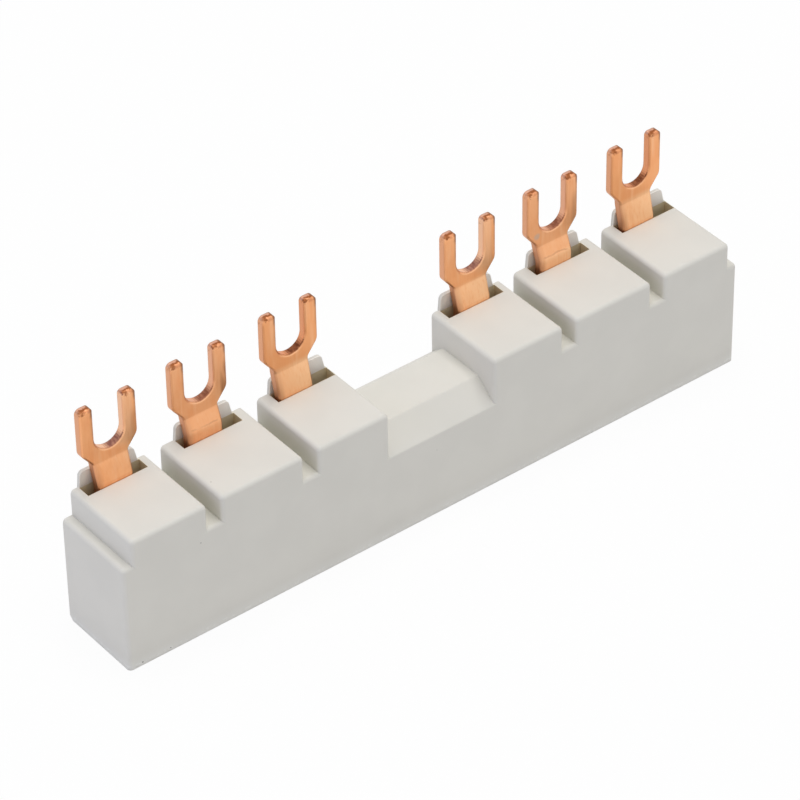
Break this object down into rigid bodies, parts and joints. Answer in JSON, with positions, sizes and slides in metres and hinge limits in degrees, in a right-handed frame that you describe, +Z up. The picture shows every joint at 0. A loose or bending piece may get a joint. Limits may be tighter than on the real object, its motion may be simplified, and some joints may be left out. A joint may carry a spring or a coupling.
{
  "type": "comb busbar",
  "caption": "Three-phase comb busbar: a grey moulded housing over bent copper combs whose forked tongues link the screw terminals of motor starters in a row.",
  "frame": {"origin": "middle of the base, on the surface that the part stands on", "axes": "+X along the row of towers from the first tongue to the last, +Y from the plain front face to the face with the tabs, +Z up to the tips of the forks"},
  "size_m": [0.0946, 0.0126, 0.0315],
  "materials": {
    "housing": "fine matt moulding",
    "cover": "fine matt moulding",
    "copper": "bare rolled copper, satin, with sheared edges",
    "strip": "smooth insulating sheet"
  },
  "bodies": {
    "root": {"housing": "housing", "base_cover": "cover", "phase_bar_l1": "copper", "phase_bar_l2": "copper", "phase_bar_l3": "copper", "insulating_strip_front": "strip", "insulating_strip_rear": "strip"}
  },
  "joints": []
}
